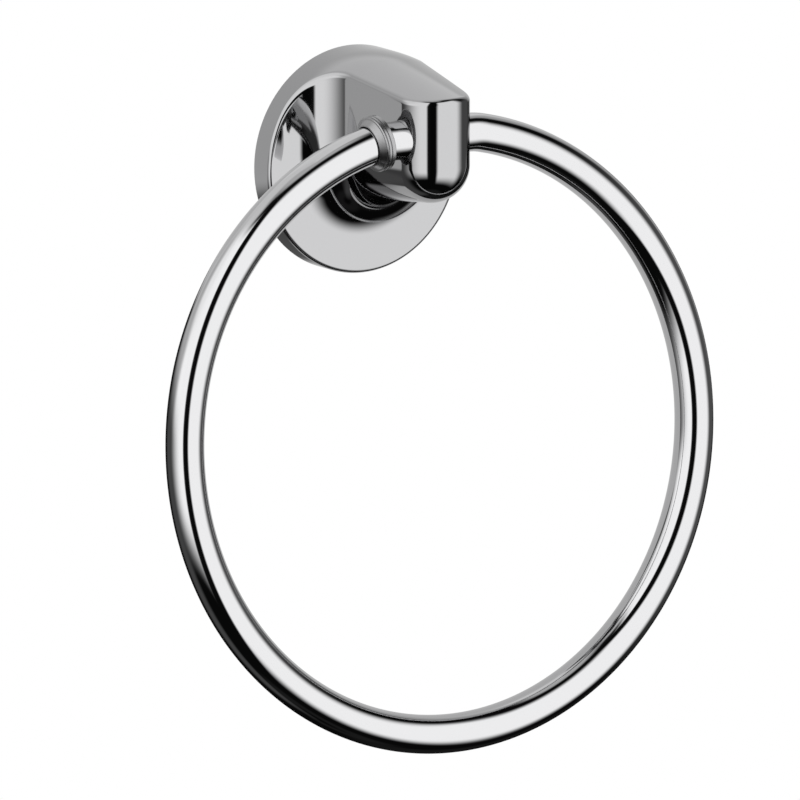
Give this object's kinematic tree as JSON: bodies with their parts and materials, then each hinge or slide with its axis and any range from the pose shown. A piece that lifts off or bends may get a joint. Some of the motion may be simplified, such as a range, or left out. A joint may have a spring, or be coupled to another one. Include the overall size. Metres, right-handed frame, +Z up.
{
  "type": "towel ring",
  "caption": "Wall-mounted towel ring: a chromed bar hoop swings in a flared post with a half-round nose, closed by a small grooved collar and fixed to a round flange.",
  "frame": {"origin": "centre of the flange's back face, on the wall", "axes": "+Y points out of the back of the flange into the wall, +Z is up, X runs along the wall and the ring's pivot"},
  "size_m": [0.1617, 0.0811, 0.1726],
  "materials": {
    "chrome_post": "mirror-polished chrome plating on a zinc casting",
    "chrome_ring": "mirror-polished chrome plating on round bar",
    "chrome_collar": "polished chrome plating, slightly duller than the bar",
    "plated_steel": "zinc-plated pressed steel",
    "set_screw_steel": "plain stainless steel",
    "wall_screw_steel": "zinc-plated steel"
  },
  "bodies": {
    "wall_mount": {"post": "chrome_post", "wall_bracket": "plated_steel", "set_screw": "set_screw_steel", "wall_screws": "wall_screw_steel"},
    "hoop": {"ring": "chrome_ring", "joint_collar": "chrome_collar"}
  },
  "joints": [
    {"name": "ring_swing", "type": "hinge", "parent": "wall_mount", "child": "hoop", "pos_m": [0, -0.0375, 0.011], "axis": [-1, 0, 0], "range_deg": [-17, 187]}
  ]
}
